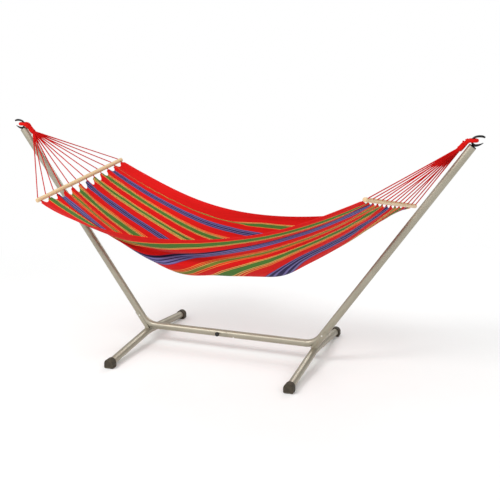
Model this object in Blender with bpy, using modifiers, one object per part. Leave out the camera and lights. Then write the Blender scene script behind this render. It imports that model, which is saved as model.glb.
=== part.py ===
"""Hammock on a free-standing steel tube stand.

Frame: metres, +Z up, origin on the floor under the middle of the beam, X along the beam
(left half at -X), -Y is the front.  The stand is two bent tubes that meet in a splice over
an inner sleeve, each held in a U saddle on an arched foot tube.  The hammock is a striped
cloth on two drilled spreader bars, hung on cord fans from two whipped loops.
"""
import math

import bmesh
import bpy
import numpy as np
from mathutils import Matrix, Vector

# ---------------------------------------------------------------- driving dimensions
GAP = 0.0004                    # running gap kept between neighbouring solids

TUBE_R = 0.02415                # 48.3 mm steel tube, outer radius
TUBE_WALL = 0.0020
TUBE_SIDES_RES = 8              # bevel resolution: 4 + 2 * 8 = 20 sides

ARM_TOP_X = 1.500               # centre of the open top end of each arm
ARM_TOP_Z = 1.4188
CORNER_X = 0.5947               # where the straight beam and arm lines would meet
BEAM_Z = 0.1177
BEND_R = 0.130                  # centreline radius of the elbow
SEAM_X = -0.010                 # splice seam between the two half frames

SLEEVE_HALF = 0.100
SLEEVE_R = TUBE_R - TUBE_WALL - GAP
SLEEVE_WALL = 0.0018

FOOT_X = 0.590
FOOT_APEX_Z = 0.079             # where the two straight legs of the foot tube would meet
FOOT_SLOPE = 0.090              # fall of the foot tube towards the floor, m per m
FOOT_BEND_R = 0.600
FOOT_TUBE_END = 0.562
CAP_IN_Y = 0.522
CAP_OUT_Y = 0.570
CAP_HALF_W = 0.031
CAP_END_WALL = 0.004
SOLE_CHAMFER = 0.005

SADDLE_WALL = 0.003
SADDLE_LIP = 0.010              # straight flanks of the U past the tube's middle
SADDLE_LOW = -0.030             # along the arm line from the virtual corner
SADDLE_TOP = 0.114
SADDLE_BOLT = 0.083

BOLT_R = 0.003
BOLT_HEAD_R = 0.0062
BOLT_HEAD_H = 0.0036
NUT_R = 0.0058
NUT_H = 0.005
BOLT_TAIL = 0.0015              # thread showing past the nut
HOLE_CLEARANCE = 0.0005
DRILL_OVERSHOOT = 0.010         # how far a drill starts and ends outside its part

KNOB_X = -0.070
KNOB_R = 0.0150
KNOB_H = 0.017
KNOB_NECK_R = 0.0085
STUD_R = 0.0040
STUD_END_Y = -0.0105            # inner end of the stud, from the beam's middle
STUD_IN_KNOB = 0.6              # depth of the stud in the knob, as a share of its height
WELD_NUT_R = 0.0075
WELD_NUT_Y = (-0.0176, -0.0120)     # its front and back, from the beam's middle

BUTTON_X = 0.042
BUTTON_DIP = math.radians(24)   # the button sits below the middle of the tube's front
BUTTON_R = 0.0050
BUTTON_PROUD = 0.0070
BUTTON_FLANGE_R = 0.0070
BUTTON_FLANGE = 0.0015          # its thickness
BUTTON_FLANGE_GAP = 0.0018      # from the flange's middle to the curved sleeve wall
SPRING_LEAF = 0.0008            # thickness of the leaf spring
SPRING_HALF_W = 0.0035
SPRING_BEND = (0.034, 0.008)    # the turn of the V: its place along the beam, and its radius

PLUG_FLANGE = 0.002
PLUG_DEPTH = 0.030
HOOK_R = 0.0055
SHANK_TAIL = 0.012              # hook shank past the plug, inside the tube
SHANK_NECK = 0.013              # and above the arm's end
HOOK_NUT_R = 0.0105
HOOK_NUT_H = 0.007
SWING_Z = 1.4536                # height of the swing axis through both hooks

ROPE_R = 0.0110
EYE_HALF = 0.0210               # half distance between the two legs of a loop
EYE_X = 1.5010                  # centre of the half circle at the loop's outer end
NECK_START = (1.456, 1.4345)    # whipping, hook side: x, z
NECK_END = (1.425, 1.4010)      # whipping, fan side: x, z
NECK_R = 0.0155

BAR_R = 0.014
LEFT_BAR = (Vector((-1.156, -0.409, 1.008)), Vector((-0.937, 0.338, 1.193)))
RIGHT_BAR = (Vector((0.958, -0.348, 1.135)), Vector((1.123, 0.418, 0.977)))
CORDS = 12
CORD_R = 0.0025
CORD_HOLE_R = 0.0034
FIRST_HOLE = 0.025              # from the end of the bar
BUNDLE_PITCH = 0.0057           # cord spacing where the cords leave the whipping

CLOTH_THICK = 0.0035
CLOTH_END = 0.962               # cloth reaches this share of the way to each bar
CLOTH_MARGIN = 0.012            # cloth edge from the bar end, as a share of the bar
NEAR_SAG = (0.277, -0.036, -0.015)   # sag of the front edge: constant, linear, quadratic
FAR_SAG = (0.189, -0.031, 0.013)
TROUGH = (0.341, -0.003, 0.085)      # extra sag along the middle
DRAW_IN = (0.150, -0.266)            # how far the edges are drawn together
TROUGH_POWER = 1.65
CLOTH_U_CELLS = 26
CLOTH_V_CELLS = 14

ARM = Vector((ARM_TOP_X - CORNER_X, 0, ARM_TOP_Z - BEAM_Z))
ARM_LENGTH = ARM.length
ARM_DIR = ARM.normalized()
OUTWARD = Vector((ARM_DIR.z, 0, -ARM_DIR.x))    # square to the arm, away from the hammock
SIDES = {"left": -1, "right": 1}


# ---------------------------------------------------------------- scene set-up
for old in list(bpy.data.objects):
    bpy.data.objects.remove(old, do_unlink=True)

PARTS = bpy.data.collections.new("hammock_on_stand")
TOOLS = bpy.data.collections.new("cutters")
bpy.context.scene.collection.children.link(PARTS)
bpy.context.scene.collection.children.link(TOOLS)


def make_material(name, colour, roughness, metallic=0.0):
    material = bpy.data.materials.new(name)
    material.use_nodes = True
    shader = material.node_tree.nodes["Principled BSDF"]
    shader.inputs["Base Color"].default_value = (*colour, 1)
    shader.inputs["Roughness"].default_value = roughness
    shader.inputs["Metallic"].default_value = metallic
    return material


MATERIALS = {
    "tube": make_material("tube", (0.42, 0.37, 0.29), 0.38, 0.6),
    "rubber": make_material("rubber", (0.055, 0.045, 0.032), 0.75),
    "black": make_material("black", (0.012, 0.011, 0.011), 0.40),
    "zinc": make_material("zinc", (0.66, 0.65, 0.60), 0.30, 1.0),
    "wood": make_material("wood", (0.78, 0.60, 0.36), 0.55),
    "rope": make_material("rope", (0.56, 0.012, 0.014), 0.85),
    "cloth": make_material("cloth", (0.62, 0.010, 0.010), 0.85),
}


# ---------------------------------------------------------------- modelling helpers
def add_object(name, data, material, collection=PARTS):
    obj = bpy.data.objects.new(name, data)
    collection.objects.link(obj)
    if material is not None:
        data.materials.clear()
        data.materials.append(MATERIALS[material])
    return obj


def hide_tool(obj):
    obj.hide_render = True
    obj.display_type = "WIRE"
    return obj


def smooth(obj, angle=40):
    obj.data.shade_smooth()
    obj.data.set_sharp_from_angle(angle=math.radians(angle))
    return obj


def to_mesh(obj):
    """Replace a curve object by its welded mesh, in place."""
    depsgraph = bpy.context.evaluated_depsgraph_get()
    mesh = bpy.data.meshes.new_from_object(obj.evaluated_get(depsgraph))
    name = obj.name
    matrix = obj.matrix_world.copy()
    collection = obj.users_collection[0]
    material = obj.data.materials[0] if obj.data.materials else None
    bpy.data.objects.remove(obj, do_unlink=True)
    shape = bmesh.new()
    shape.from_mesh(mesh)
    bmesh.ops.remove_doubles(shape, verts=shape.verts, dist=0.00001)
    bmesh.ops.recalc_face_normals(shape, faces=shape.faces)
    shape.to_mesh(mesh)
    shape.free()
    mesh.materials.clear()
    mesh.name = name
    solid = bpy.data.objects.new(name, mesh)
    solid.matrix_world = matrix
    collection.objects.link(solid)
    if material is not None:
        mesh.materials.append(material)
    return solid


def tube(name, points, radius, material, resolution=2, capped=True, radii=None,
         collection=PARTS):
    """A round bar or tube along a poly line; radii scales it point by point."""
    curve = bpy.data.curves.new(name, "CURVE")
    curve.dimensions = "3D"
    curve.bevel_depth = radius
    curve.bevel_resolution = resolution
    curve.use_fill_caps = capped
    curve.twist_mode = "MINIMUM"
    spline = curve.splines.new("POLY")
    spline.points.add(len(points) - 1)
    for i, (point, place) in enumerate(zip(spline.points, points)):
        point.co = (*place, 1)
        point.radius = radii[i] if radii else 1.0
    return add_object(name, curve, material, collection)


def hollow_tube(name, points, radius, wall, material, resolution=TUBE_SIDES_RES):
    """An open-ended pipe: an open skin thickened inwards."""
    pipe = to_mesh(tube(name, points, radius, material, resolution, capped=False))
    skin = bmesh.new()
    skin.from_mesh(pipe.data)
    first = skin.faces[:][0]
    middle = first.calc_center_median()
    nearest = min(points, key=lambda p: (Vector(p) - middle).length)
    follow = min(points, key=lambda p: (Vector(p) - middle).length if p is not nearest else 99)
    along = (Vector(follow) - Vector(nearest)).normalized()
    offset = middle - Vector(nearest)
    if (offset - along * offset.dot(along)).dot(first.normal) < 0:
        bmesh.ops.reverse_faces(skin, faces=skin.faces)
    skin.to_mesh(pipe.data)
    skin.free()
    shell = pipe.modifiers.new("wall", "SOLIDIFY")
    shell.thickness = wall
    shell.offset = -1
    shell.use_even_offset = True
    return smooth(pipe)


def rod(name, start, end, radius, material, sides=16, collection=PARTS):
    """A plain cylinder (or prism) between two points."""
    start = Vector(start)
    end = Vector(end)
    mesh = bpy.data.meshes.new(name)
    shape = bmesh.new()
    bmesh.ops.create_cone(shape, cap_ends=True, segments=sides, radius1=radius, radius2=radius,
                          depth=(end - start).length)
    shape.to_mesh(mesh)
    shape.free()
    obj = add_object(name, mesh, material, collection)
    turn = (end - start).to_track_quat("Z", "Y").to_matrix().to_4x4()
    obj.matrix_world = Matrix.Translation((start + end) / 2) @ turn
    return smooth(obj)


def turned(name, profile, origin, direction, material, steps=20):
    """A turned piece: (radius, height) pairs, top to bottom, heights along direction."""
    mesh = bpy.data.meshes.new(name)
    shape = bmesh.new()
    corners = [shape.verts.new((radius, 0, height)) for radius, height in profile]
    for low, high in zip(corners, corners[1:]):
        shape.edges.new((low, high))
    shape.to_mesh(mesh)
    shape.free()
    obj = add_object(name, mesh, material)
    screw = obj.modifiers.new("turn", "SCREW")
    screw.steps = steps
    screw.render_steps = steps
    screw.use_merge_vertices = True
    screw.merge_threshold = 0.00001
    screw.use_smooth_shade = True
    turn = Vector(direction).to_track_quat("Z", "Y").to_matrix().to_4x4()
    obj.matrix_world = Matrix.Translation(Vector(origin)) @ turn
    return obj


def plate(name, outline, thickness, material):
    """A flat outline with thickness, centred on its own XY plane."""
    curve = bpy.data.curves.new(name, "CURVE")
    curve.dimensions = "2D"
    curve.fill_mode = "BOTH"
    curve.extrude = thickness / 2
    spline = curve.splines.new("POLY")
    spline.points.add(len(outline) - 1)
    spline.use_cyclic_u = True
    for point, (x, y) in zip(spline.points, outline):
        point.co = (x, y, 0, 1)
    return to_mesh(add_object(name, curve, material))


def cut(obj, *cutters):
    for cutter in cutters:
        boolean = obj.modifiers.new("cut_" + cutter.name, "BOOLEAN")
        boolean.operation = "DIFFERENCE"
        boolean.object = hide_tool(cutter)
    return obj


def join(obj, other, crosses_itself=False):
    boolean = obj.modifiers.new("join_" + other.name, "BOOLEAN")
    boolean.operation = "UNION"
    boolean.use_self = crosses_itself
    boolean.object = hide_tool(other)
    return obj


def drill(name, start, end, radius, sides=12):
    return rod("tool_" + name, start, end, radius, None, sides, TOOLS)


def arc(centre, radius, start, end, steps):
    """Points of an arc in a plane, angles in radians."""
    angles = np.linspace(start, end, steps + 1)
    return [(centre[0] + radius * math.cos(a), centre[1] + radius * math.sin(a)) for a in angles]


def mirrored(point, side):
    return Vector((side * point[0], point[1], point[2]))


# ---------------------------------------------------------------- stand
def arm_point(along, outward=0.0, y=0.0):
    """A point on the right arm: metres from the virtual corner, and square to the arm."""
    corner = Vector((CORNER_X, 0, BEAM_Z))
    return corner + ARM_DIR * along + OUTWARD * outward + Vector((0, y, 0))


def half_frame_path(side, trim=0.0):
    """Centreline from the splice through the elbow to the top of the arm."""
    slope = math.atan2(ARM_DIR.z, ARM_DIR.x)
    tangent = BEND_R * math.tan(slope / 2)
    elbow = arc((CORNER_X - tangent, BEAM_Z + BEND_R), BEND_R, -math.pi / 2,
                slope - math.pi / 2, 9)
    seam = SEAM_X * side + GAP / 2
    path = [Vector((seam, 0, BEAM_Z))]
    path += [Vector((x, 0, z)) for x, z in elbow]
    path.append(arm_point(ARM_LENGTH + trim))
    return [mirrored(point, side) for point in path]


def foot_path(side):
    """Arched foot tube: two straight legs and a wide bend under the elbow."""
    slope = math.atan(FOOT_SLOPE)
    middle_z = FOOT_APEX_Z - FOOT_BEND_R / math.cos(slope)
    bend = arc((0, middle_z), FOOT_BEND_R, math.pi / 2 + slope, math.pi / 2 - slope, 4)
    end_z = FOOT_APEX_Z - FOOT_SLOPE * FOOT_TUBE_END
    path = [(-FOOT_TUBE_END, end_z)] + bend + [(FOOT_TUBE_END, end_z)]
    return [Vector((side * FOOT_X, y, z)) for y, z in path]


def button_direction():
    return Vector((0, -math.cos(BUTTON_DIP), -math.sin(BUTTON_DIP)))


def bolt_drill(name, side):
    """The hole for the through bolt of one saddle."""
    reach = TUBE_R + SADDLE_WALL + DRILL_OVERSHOOT
    low = mirrored(arm_point(SADDLE_BOLT, y=-reach), side)
    high = mirrored(arm_point(SADDLE_BOLT, y=reach), side)
    return drill(name, low, high, BOLT_R + HOLE_CLEARANCE)


def make_half_frame(label, side):
    frame = hollow_tube(label + "_half_frame", half_frame_path(side), TUBE_R, TUBE_WALL, "tube")
    cut(frame, bolt_drill(label + "_frame_bolt", side))
    return frame


def make_splice(left_frame, right_frame):
    """Inner sleeve, clamping knob with its stud and weld nut, and the snap button."""
    sleeve = hollow_tube("splice_sleeve", [(-SLEEVE_HALF, 0, BEAM_Z), (SLEEVE_HALF, 0, BEAM_Z)],
                         SLEEVE_R, SLEEVE_WALL, "zinc")
    front = Vector((KNOB_X, -1.2 * TUBE_R, BEAM_Z))
    inside = Vector((KNOB_X, -0.3 * TUBE_R, BEAM_Z))
    stud_hole = drill("stud", front, inside, STUD_R + HOLE_CLEARANCE)
    cut(left_frame, stud_hole)
    cut(sleeve, stud_hole)

    seat = -TUBE_R - GAP
    profile = [
        (0, KNOB_H), (KNOB_R * 0.80, KNOB_H), (KNOB_R, KNOB_H * 0.78), (KNOB_R, KNOB_H * 0.36),
        (KNOB_NECK_R, KNOB_H * 0.24), (KNOB_NECK_R, 0), (0, 0),
    ]
    knob = turned("splice_knob", profile, (KNOB_X, seat, BEAM_Z), (0, -1, 0), "black", 24)
    stud_top = seat - KNOB_H * STUD_IN_KNOB
    stud_bore = drill("knob_bore", (KNOB_X, seat + DRILL_OVERSHOOT, BEAM_Z),
                      (KNOB_X, stud_top, BEAM_Z), STUD_R + GAP)
    cut(knob, stud_bore)
    rod("splice_stud", (KNOB_X, stud_top + GAP, BEAM_Z), (KNOB_X, STUD_END_Y, BEAM_Z),
        STUD_R, "zinc", 12)
    nut_front, nut_back = WELD_NUT_Y
    nut = rod("splice_weld_nut", (KNOB_X, nut_front, BEAM_Z), (KNOB_X, nut_back, BEAM_Z),
              WELD_NUT_R, "zinc", 6)
    cut(nut, drill("weld_nut", (KNOB_X, nut_front - DRILL_OVERSHOOT, BEAM_Z),
                   (KNOB_X, nut_back + DRILL_OVERSHOOT, BEAM_Z), STUD_R + GAP))

    push = button_direction()
    middle = Vector((BUTTON_X, 0, BEAM_Z))
    button_hole = drill("button", middle + push * 0.3 * TUBE_R, middle + push * 1.3 * TUBE_R,
                        BUTTON_R + HOLE_CLEARANCE)
    cut(right_frame, button_hole)
    cut(sleeve, button_hole)
    flange_top = SLEEVE_R - SLEEVE_WALL - BUTTON_FLANGE_GAP
    tip = TUBE_R + BUTTON_PROUD - flange_top
    profile = [
        (0, tip), (BUTTON_R * 0.55, tip - 0.0004), (BUTTON_R, tip - 0.0020), (BUTTON_R, 0),
        (BUTTON_FLANGE_R, 0), (BUTTON_FLANGE_R, -BUTTON_FLANGE), (0, -BUTTON_FLANGE),
    ]
    turned("snap_button", profile, middle + push * flange_top, push, "zinc", 16)
    make_snap_spring(middle, push, flange_top - BUTTON_FLANGE)


def make_snap_spring(middle, push, button_back):
    """V shaped leaf spring in the sleeve, one leg behind the button, one on the far wall."""
    reach = SLEEVE_R - SLEEVE_WALL - BUTTON_FLANGE_GAP - GAP
    front = [(-0.006, button_back - GAP - SPRING_LEAF / 2), (0.010, button_back - 0.0010)]
    back = [(0.020, -reach * 0.55), (-0.004, -reach)]
    bend_x, bend_r = SPRING_BEND
    bow = arc((bend_x, (front[1][1] + back[0][1]) / 2), bend_r, math.pi / 2, -math.pi / 2, 6)
    centre = [Vector((x, 0, z)) for x, z in front + bow + back]
    mesh = bpy.data.meshes.new("snap_spring")
    strip = bmesh.new()
    rows = []
    for point in centre:
        rows.append([strip.verts.new(point + Vector((0, y, 0)))
                     for y in (-SPRING_HALF_W, SPRING_HALF_W)])
    for first, second in zip(rows, rows[1:]):
        strip.faces.new((first[0], first[1], second[1], second[0]))
    strip.to_mesh(mesh)
    strip.free()
    spring = add_object("snap_spring", mesh, "zinc")
    shell = spring.modifiers.new("leaf", "SOLIDIFY")
    shell.thickness = SPRING_LEAF
    shell.offset = 0
    shell.use_even_offset = True
    side = Vector((1, 0, 0))
    width = push.cross(side)
    turn = Matrix((side, width, push)).transposed().to_4x4()
    spring.matrix_world = Matrix.Translation(middle) @ turn
    return spring


def make_foot(label, side):
    foot_tube = hollow_tube(label + "_foot_tube", foot_path(side), TUBE_R, TUBE_WALL, "tube")
    for end, sign in (("front", -1), ("rear", 1)):
        make_cap(label + "_" + end + "_foot_cap", side, sign)
    return foot_tube


def make_cap(name, side, sign):
    """Rubber boot: round over the tube, straight sides, flat sole, blind socket."""
    middle_y = (CAP_IN_Y + CAP_OUT_Y) / 2
    axis_z = FOOT_APEX_Z - FOOT_SLOPE * middle_y
    sole = CAP_HALF_W - SOLE_CHAMFER
    outline = arc((0, axis_z), CAP_HALF_W, 0, math.pi, 12)
    outline += [(-CAP_HALF_W, SOLE_CHAMFER), (-sole, 0), (sole, 0), (CAP_HALF_W, SOLE_CHAMFER)]
    cap = plate(name, outline, CAP_OUT_Y - CAP_IN_Y, "rubber")
    stand_up = Matrix.Rotation(math.pi / 2, 4, "X")
    cap.matrix_world = Matrix.Translation((side * FOOT_X, sign * middle_y, 0)) @ stand_up
    start_y = CAP_OUT_Y - CAP_END_WALL
    end_y = CAP_IN_Y - DRILL_OVERSHOOT
    start = (side * FOOT_X, sign * start_y, FOOT_APEX_Z - FOOT_SLOPE * start_y)
    end = (side * FOOT_X, sign * end_y, FOOT_APEX_Z - FOOT_SLOPE * end_y)
    cut(cap, drill(name, start, end, TUBE_R + GAP, 20))
    return cap


def make_saddle(label, side):
    """U channel on the foot tube that holds the lower, outer half of the arm."""
    inner = TUBE_R + GAP
    outer = inner + SADDLE_WALL
    outline = arc((0, 0), outer, 0, math.pi, 14)
    outline += [(-outer, -SADDLE_LIP), (-inner, -SADDLE_LIP)]
    outline += arc((0, 0), inner, math.pi, 0, 14)
    outline += [(inner, -SADDLE_LIP), (outer, -SADDLE_LIP)]
    saddle = plate(label + "_saddle", outline, SADDLE_TOP - SADDLE_LOW, "tube")
    middle = arm_point((SADDLE_TOP + SADDLE_LOW) / 2)
    across = Vector((0, side, 0))
    outward = mirrored(OUTWARD, side)
    along = mirrored(ARM_DIR, side)
    turn = Matrix((across, outward, along)).transposed().to_4x4()
    saddle.matrix_world = Matrix.Translation(mirrored(middle, side)) @ turn

    foot = [Vector(p) for p in foot_path(side)]
    foot_space = to_mesh(tube("tool_" + label + "_foot", foot, TUBE_R + GAP, None,
                              TUBE_SIDES_RES, collection=TOOLS))
    elbow_space = to_mesh(tube("tool_" + label + "_elbow", half_frame_path(side), TUBE_R + GAP,
                               None, TUBE_SIDES_RES, collection=TOOLS))
    cut(saddle, foot_space, elbow_space, bolt_drill(label + "_saddle_bolt", side))
    return smooth(saddle, 30)


def make_saddle_fixing(label, side):
    """Through bolt with a domed head at the front and a hexagon nut at the rear."""
    seat = TUBE_R + GAP + SADDLE_WALL + GAP
    place = mirrored(arm_point(SADDLE_BOLT), side)
    head = place + Vector((0, -seat, 0))
    reach = 2 * seat + NUT_H + BOLT_TAIL
    profile = [
        (0, BOLT_HEAD_H), (BOLT_HEAD_R * 0.62, BOLT_HEAD_H * 0.86), (BOLT_HEAD_R, 0.0010),
        (BOLT_HEAD_R, 0), (BOLT_R, 0), (BOLT_R, -reach), (0, -reach),
    ]
    turned(label + "_saddle_bolt", profile, head, (0, -1, 0), "zinc", 16)
    rear = place + Vector((0, seat, 0))
    nut = rod(label + "_saddle_nut", rear, rear + Vector((0, NUT_H, 0)), NUT_R, "zinc", 6)
    bore = drill(label + "_nut", rear - Vector((0, DRILL_OVERSHOOT, 0)),
                 rear + Vector((0, NUT_H + DRILL_OVERSHOOT, 0)), BOLT_R + GAP)
    return cut(nut, bore)


def make_hook(label, side):
    """End plug in the arm, C hook open outwards, and its nut inside the tube."""
    plug_top = mirrored(arm_point(ARM_LENGTH + GAP + PLUG_FLANGE), side)
    along = mirrored(ARM_DIR, side)
    insert_r = TUBE_R - TUBE_WALL - GAP
    profile = [
        (0, 0), (TUBE_R * 0.88, 0), (TUBE_R * 0.97, -0.0005), (TUBE_R, -0.0013),
        (TUBE_R, -PLUG_FLANGE),
        (insert_r, -PLUG_FLANGE), (insert_r, -PLUG_DEPTH), (0, -PLUG_DEPTH),
    ]
    plug = turned(label + "_end_plug", profile, plug_top, along, "black", 20)
    bore = drill(label + "_plug", plug_top + along * DRILL_OVERSHOOT,
                 plug_top - along * (PLUG_DEPTH + DRILL_OVERSHOOT), HOOK_R + GAP)
    cut(plug, bore)

    spine = [
        (1.5570, 1.4405, 0.35), (1.5440, 1.4330, 0.80), (1.5290, 1.4275, 1.20),
        (1.5130, 1.4255, 1.40), (1.5000, 1.4330, 1.25), (1.4950, 1.4470, 1.15),
        (1.4975, 1.4610, 1.10), (1.5110, 1.4730, 1.10), (1.5290, 1.4780, 1.20),
        (1.5450, 1.4785, 1.25), (1.5560, 1.4770, 1.15), (1.5630, 1.4740, 1.00),
    ]
    points = [Vector((side * x, 0, z)) for x, z, _ in spine]
    radii = [r for _, _, r in spine]
    hook = to_mesh(tube(label + "_hook", points, HOOK_R, "black", 3, radii=radii))
    shank_low = mirrored(arm_point(ARM_LENGTH - PLUG_DEPTH - SHANK_TAIL), side)
    shank_top = mirrored(arm_point(ARM_LENGTH + SHANK_NECK), side)
    shank = rod("tool_" + label + "_shank", shank_low, shank_top, HOOK_R * 0.97, None, 12, TOOLS)
    smooth(join(hook, shank))

    nut_top = mirrored(arm_point(ARM_LENGTH - PLUG_DEPTH + PLUG_FLANGE - GAP), side)
    nut_low = nut_top - along * HOOK_NUT_H
    nut = rod(label + "_hook_nut", nut_top, nut_low, HOOK_NUT_R, "zinc", 6)
    cut(nut, drill(label + "_hook_nut", nut_top + along * DRILL_OVERSHOOT,
                   nut_low - along * DRILL_OVERSHOOT, HOOK_R + GAP))
    return hook


# ---------------------------------------------------------------- hammock
def neck_frame(side, bar):
    """Whipping end, the way the cord bundle leaves it, and two axes across it."""
    start = Vector((side * NECK_END[0], 0, NECK_END[1]))
    near, far = bar
    bundle = ((near + far) / 2 - start).normalized()
    lateral = (far - near).normalized()
    lateral = (lateral - bundle * lateral.dot(bundle)).normalized()
    return start, bundle, lateral, bundle.cross(lateral)


def make_loop(label, side, bar):
    """Rope eye round the hook, bound by a whipping where the cords start."""
    eye = [
        (1.4560, 0.0090, 1.4335), (1.4680, 0.0165, 1.4450), (1.4790, 0.0205, 1.4517),
        (1.4890, EYE_HALF, 1.4535), (1.5000, EYE_HALF, SWING_Z),
    ]
    turn = arc((EYE_X, 0), EYE_HALF, math.pi / 2, -math.pi / 2, 8)
    nose = [(x, y, SWING_Z) for x, y in turn[1:-1]]
    back = [(x, -y, z) for x, y, z in reversed(eye)]
    route = [Vector((side * x, y, z)) for x, y, z in eye + nose + back]
    rope = to_mesh(tube(label + "_loop", route, ROPE_R, "rope", 3))
    start, bundle, _, _ = neck_frame(side, bar)
    begin = Vector((side * NECK_START[0], 0, NECK_START[1]))
    first = begin + (begin - start).normalized() * 0.006
    whipping = [first, begin.lerp(start, 0.25), start - bundle * 0.014, start]
    neck = to_mesh(tube("tool_" + label + "_neck", whipping, NECK_R, None, 4,
                        radii=[0.92, 1.05, 1.0, 0.90], collection=TOOLS))
    return smooth(join(rope, neck, crosses_itself=True), 50)


def hole_place(bar, index):
    near, far = bar
    length = (far - near).length
    pitch = (length - 2 * FIRST_HOLE) / (CORDS - 1)
    return near.lerp(far, (FIRST_HOLE + pitch * index) / length)


def hole_direction(side, bar):
    """Square to the bar, in the plane of the cord fan, pointing from the neck to the cloth."""
    start, bundle, _, _ = neck_frame(side, bar)
    axis = (bar[1] - bar[0]).normalized()
    return (bundle - axis * bundle.dot(axis)).normalized()


def make_bar(label, side, bar):
    near, far = bar
    body = rod(label + "_spreader_bar", near, far, BAR_R, "wood", 20)
    through = hole_direction(side, bar)
    for index in range(CORDS):
        place = hole_place(bar, index)
        reach = through * (BAR_R + DRILL_OVERSHOOT)
        cut(body, drill(f"{label}_bar_{index:02d}", place - reach, place + reach, CORD_HOLE_R, 10))
    return body


def cloth_point(u, v):
    """Middle surface of the cloth: u from left bar (-1) to right bar (1), v front to rear."""
    across = CLOTH_MARGIN + (1 - 2 * CLOTH_MARGIN) * v
    left = LEFT_BAR[0].lerp(LEFT_BAR[1], across)
    right = RIGHT_BAR[0].lerp(RIGHT_BAR[1], across)
    point = left.lerp(right, (u + 1) / 2)
    free = 1 - u * u

    def bow(terms):
        return free * (terms[0] + terms[1] * u + terms[2] * u * u)

    sag = bow(NEAR_SAG) * (1 - v) + bow(FAR_SAG) * v
    sag += bow(TROUGH) * (1 - abs(2 * v - 1) ** TROUGH_POWER)
    drawn = free * (DRAW_IN[0] + DRAW_IN[1] * u * u) * (1 - 2 * v)
    return point + Vector((0, drawn, -sag))


def make_cords(label, side, bar):
    """Twelve cords from the whipping, each through its hole in the bar, to the cloth."""
    start, bundle, lateral, rise = neck_frame(side, bar)
    through = hole_direction(side, bar)
    near, far = bar
    for index in range(CORDS):
        column = index // 3 - 1.5
        row = index % 3 - 1
        begin = start + lateral * column * BUNDLE_PITCH + rise * row * BUNDLE_PITCH
        begin += bundle * 0.0010
        place = hole_place(bar, index)
        v = ((place - near).length / (far - near).length - CLOTH_MARGIN) / (1 - 2 * CLOTH_MARGIN)
        hem = cloth_point(side * (CLOTH_END + 0.004), v)
        route = [
            begin, begin + bundle * 0.010, place - through * (BAR_R + 0.006),
            place - through * (BAR_R + 0.002), place + through * (BAR_R + 0.002), hem,
        ]
        tube(f"{label}_cord_{index + 1:02d}", route, CORD_R, "rope", 2)


def make_cloth():
    mesh = bpy.data.meshes.new("hammock_cloth")
    sheet = bmesh.new()
    bmesh.ops.create_grid(sheet, x_segments=CLOTH_U_CELLS, y_segments=CLOTH_V_CELLS, size=1)
    for vert in sheet.verts:
        vert.co = cloth_point(vert.co.x * CLOTH_END, (vert.co.y + 1) / 2)
    sheet.to_mesh(mesh)
    sheet.free()
    cloth = add_object("hammock_cloth", mesh, "cloth")
    thick = cloth.modifiers.new("thickness", "SOLIDIFY")
    thick.thickness = CLOTH_THICK
    thick.offset = 0
    thick.use_even_offset = True
    return smooth(cloth, 60)


# ---------------------------------------------------------------- assembly
frames = {}
for label, side in SIDES.items():
    frames[label] = make_half_frame(label, side)
    make_foot(label, side)
    make_saddle(label, side)
    make_saddle_fixing(label, side)
    make_hook(label, side)
make_splice(frames["left"], frames["right"])

for label, bar in (("left", LEFT_BAR), ("right", RIGHT_BAR)):
    make_loop(label, SIDES[label], bar)
    make_bar(label, SIDES[label], bar)
    make_cords(label, SIDES[label], bar)
make_cloth()

swing_axis = bpy.data.objects.new("swing_axis", None)
swing_axis.location = (0, 0, SWING_Z)
PARTS.objects.link(swing_axis)
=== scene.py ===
"""Looks of the striped hammock on its steel tube stand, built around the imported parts.

Frame: metres, +Z up, X along the beam (left half at -X), -Y is the front.  Every piece rides
on the body of the CAD part that it stands for.  The driving sizes below are the CAD part's own.
"""
import math

import bmesh
import bpy
import numpy as np
from mathutils import Matrix, Vector, noise


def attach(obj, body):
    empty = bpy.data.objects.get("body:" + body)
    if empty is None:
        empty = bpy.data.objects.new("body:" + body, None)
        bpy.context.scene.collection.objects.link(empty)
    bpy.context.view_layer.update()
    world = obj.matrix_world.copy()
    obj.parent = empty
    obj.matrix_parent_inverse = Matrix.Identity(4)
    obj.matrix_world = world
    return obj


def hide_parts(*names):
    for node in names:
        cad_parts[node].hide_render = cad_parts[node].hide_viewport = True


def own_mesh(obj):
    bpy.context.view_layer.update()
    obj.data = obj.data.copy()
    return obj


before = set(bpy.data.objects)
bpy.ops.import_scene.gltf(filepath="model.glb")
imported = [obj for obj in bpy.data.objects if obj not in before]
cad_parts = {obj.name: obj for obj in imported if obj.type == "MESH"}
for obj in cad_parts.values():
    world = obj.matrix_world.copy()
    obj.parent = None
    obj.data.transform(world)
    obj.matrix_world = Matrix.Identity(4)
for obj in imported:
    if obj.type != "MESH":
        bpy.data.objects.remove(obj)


def add_object(name, data, material=None):
    obj = bpy.data.objects.new(name, data)
    bpy.context.scene.collection.objects.link(obj)
    if material is not None:
        data.materials.append(material)
    return obj


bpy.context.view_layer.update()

# ---- driving sizes
SIDES = {"left": -1, "right": 1}

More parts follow.
